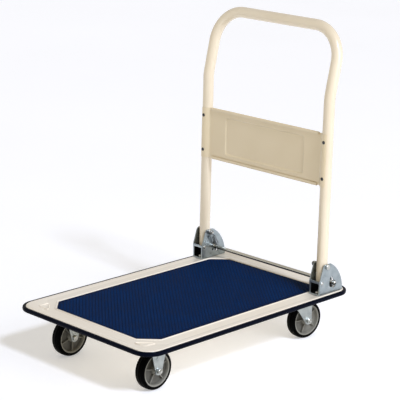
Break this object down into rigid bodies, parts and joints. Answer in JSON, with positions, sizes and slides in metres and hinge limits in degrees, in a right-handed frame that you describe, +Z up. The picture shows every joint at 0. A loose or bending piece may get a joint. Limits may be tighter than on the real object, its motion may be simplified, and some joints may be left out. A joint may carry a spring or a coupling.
{
  "type": "folding platform cart",
  "caption": "Flat-bed push cart with rimmed steel deck, inlaid mat, tubular handle that folds forward, and fixed and swivel casters.",
  "frame": {"origin": "on the ground under the middle of the deck", "axes": "+Z up; +Y towards the handle end; +X to the right when facing the handle from the front"},
  "size_m": [0.48, 0.74, 0.8293],
  "materials": {
    "powder_coat": "semi-gloss cream powder coat",
    "underside_paint": "thin matt cream coat",
    "mat_rubber": "ribbed navy rubber",
    "bumper_vinyl": "satin navy vinyl",
    "zinc": "bright zinc plate",
    "steel": "plated steel",
    "spring_steel": "drawn spring wire",
    "wheel_plastic": "grey moulded nylon",
    "tyre_rubber": "black moulded rubber"
  },
  "bodies": {
    "chassis": {"deck_pan": "powder_coat", "mat": "mat_rubber", "bumper": "bumper_vinyl", "cross_member_front": "underside_paint", "cross_member_rear": "underside_paint", "centre_rib": "underside_paint", "bracket_left": "zinc", "bracket_rivet_front_left": "steel", "bracket_rivet_rear_left": "steel", "stop_pin_left": "steel", "pivot_bolt_left": "steel", "pivot_nut_left": "steel", "fixed_fork_left": "zinc", "axle_bolt_front_left": "steel", "axle_nut_front_left": "steel", "axle_sleeve_front_left": "steel", "swivel_plate_left": "zinc", "swivel_race_left": "zinc", "kingpin_left": "steel", "bracket_right": "zinc", "bracket_rivet_front_right": "steel", "bracket_rivet_rear_right": "steel", "stop_pin_right": "steel", "pivot_bolt_right": "steel", "pivot_nut_right": "steel", "fixed_fork_right": "zinc", "axle_bolt_front_right": "steel", "axle_nut_front_right": "steel", "axle_sleeve_front_right": "steel", "swivel_plate_right": "zinc", "swivel_race_right": "zinc", "kingpin_right": "steel"},
    "handle": {"handle_tube": "powder_coat", "sign_panel": "powder_coat", "panel_rivet_top_left": "steel", "panel_rivet_bottom_left": "steel", "panel_rivet_top_right": "steel", "panel_rivet_bottom_right": "steel"},
    "release_bar": {"release_bar": "steel", "bar_clip_left": "spring_steel", "return_spring_left": "spring_steel", "bar_clip_right": "spring_steel", "return_spring_right": "spring_steel"},
    "swivel_left": {"swivel_fork_left": "zinc", "axle_bolt_rear_left": "steel", "axle_nut_rear_left": "steel", "axle_sleeve_rear_left": "steel"},
    "wheel_front_left": {"hub_front_left": "wheel_plastic", "tyre_front_left": "tyre_rubber"},
    "wheel_rear_left": {"hub_rear_left": "wheel_plastic", "tyre_rear_left": "tyre_rubber"},
    "swivel_right": {"swivel_fork_right": "zinc", "axle_bolt_rear_right": "steel", "axle_nut_rear_right": "steel", "axle_sleeve_rear_right": "steel"},
    "wheel_front_right": {"hub_front_right": "wheel_plastic", "tyre_front_right": "tyre_rubber"},
    "wheel_rear_right": {"hub_rear_right": "wheel_plastic", "tyre_rear_right": "tyre_rubber"}
  },
  "joints": [
    {"name": "handle_fold", "type": "hinge", "parent": "chassis", "child": "handle", "pos_m": [0, 0.2722, 0.209], "axis": [1, 0, 0], "range_deg": [0, 97.8]},
    {"name": "bar_release", "type": "slide", "parent": "chassis", "child": "release_bar", "axis": [0, 0.4772, -0.8788], "range_m": [0, 0.01], "stiffness_N_per_m": 600, "springref_m": -0.012, "deforming": ["return_spring_left", "return_spring_right"]},
    {"name": "wheel_front_left_spin", "type": "hinge", "parent": "chassis", "child": "wheel_front_left", "pos_m": [-0.151, -0.265, 0.05], "axis": [1, 0, 0], "continuous": true},
    {"name": "swivel_left_turn", "type": "hinge", "parent": "chassis", "child": "swivel_left", "pos_m": [-0.151, 0.245, 0.05], "axis": [0, 0, 1], "continuous": true},
    {"name": "wheel_rear_left_spin", "type": "hinge", "parent": "swivel_left", "child": "wheel_rear_left", "pos_m": [-0.151, 0.275, 0.05], "axis": [1, 0, 0], "continuous": true},
    {"name": "wheel_front_right_spin", "type": "hinge", "parent": "chassis", "child": "wheel_front_right", "pos_m": [0.151, -0.265, 0.05], "axis": [1, 0, 0], "continuous": true},
    {"name": "swivel_right_turn", "type": "hinge", "parent": "chassis", "child": "swivel_right", "pos_m": [0.151, 0.245, 0.05], "axis": [0, 0, 1], "continuous": true},
    {"name": "wheel_rear_right_spin", "type": "hinge", "parent": "swivel_right", "child": "wheel_rear_right", "pos_m": [0.15466, 0.27478, 0.05], "axis": [0.9925, -0.1219, 0], "continuous": true}
  ]
}
